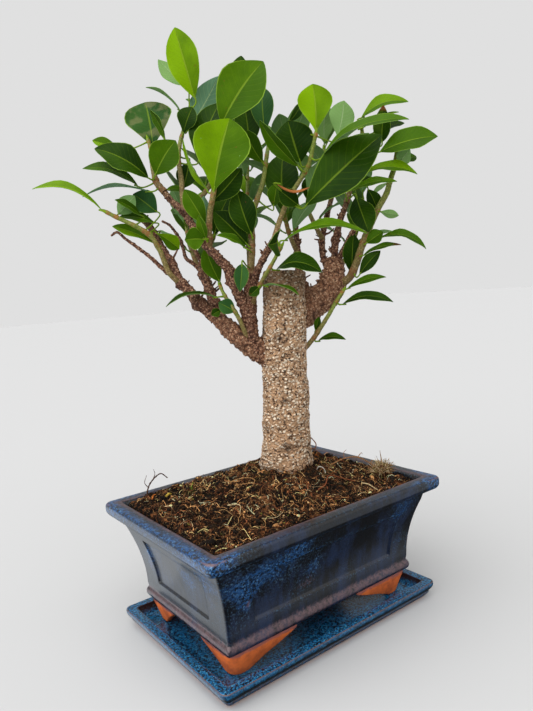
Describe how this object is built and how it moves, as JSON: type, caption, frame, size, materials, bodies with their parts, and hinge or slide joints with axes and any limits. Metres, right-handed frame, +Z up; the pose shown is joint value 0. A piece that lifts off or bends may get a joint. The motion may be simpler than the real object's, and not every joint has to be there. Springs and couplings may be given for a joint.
{
  "type": "bonsai tree in a pot",
  "caption": "Small fig bonsai with a cut trunk and leafy shoots, planted in a footed rectangular glazed pot that rests on a matching tray.",
  "frame": {"origin": "middle of the tray's flat underside, on the surface that the object stands on", "axes": "+Z up; +X along the long side of the pot and tray; -Y towards the long face shown as the front"},
  "size_m": [0.2012, 0.1534, 0.3286],
  "materials": {
    "blue_glaze": "dark blue-black gloss glaze over terracotta, bare terracotta at the feet",
    "tray_glaze": "mottled bright blue and teal gloss glaze over terracotta",
    "mesh_plastic": "black plastic drainage mesh",
    "peat": "coarse dark peat with fine rootlets",
    "bark": "grey-tan bark with pale raised pores",
    "twig_bark": "rough red-brown bark",
    "leaf_green": "glossy green leaves on yellow-green stems",
    "dry_wood": "dry grey-tan twigs and roots"
  },
  "bodies": {
    "root": {"branch_front": "twig_bark", "branch_left_back": "twig_bark", "branch_left_long": "twig_bark", "branch_left_low": "twig_bark", "branch_right_dark": "twig_bark", "branch_right_high": "twig_bark", "branch_right_inner": "twig_bark", "branch_upright": "twig_bark", "dry_tuft": "dry_wood", "limb_left": "bark", "limb_right": "bark", "mesh_screen_left": "mesh_plastic", "mesh_screen_right": "mesh_plastic", "pot": "blue_glaze", "root_arch": "dry_wood", "root_back_left": "dry_wood", "root_curl": "dry_wood", "shoot_back_centre": "leaf_green", "shoot_back_high": "leaf_green", "shoot_back_inner": "leaf_green", "shoot_back_left": "leaf_green", "shoot_back_right": "leaf_green", "shoot_back_top": "leaf_green", "shoot_centre": "leaf_green", "shoot_front": "leaf_green", "shoot_front_left": "leaf_green", "shoot_front_low": "leaf_green", "shoot_inner_left": "leaf_green", "shoot_inner_low": "leaf_green", "shoot_inner_right": "leaf_green", "shoot_left_end": "leaf_green", "shoot_left_high": "leaf_green", "shoot_left_low": "leaf_green", "shoot_middle": "leaf_green", "shoot_right_high": "leaf_green", "shoot_right_long": "leaf_green", "shoot_right_low": "leaf_green", "soil": "peat", "stub_left": "twig_bark", "stub_right": "twig_bark", "tray": "tray_glaze", "trunk": "bark", "twig_dead_fork": "twig_bark", "twig_dead_left": "twig_bark"}
  },
  "joints": []
}
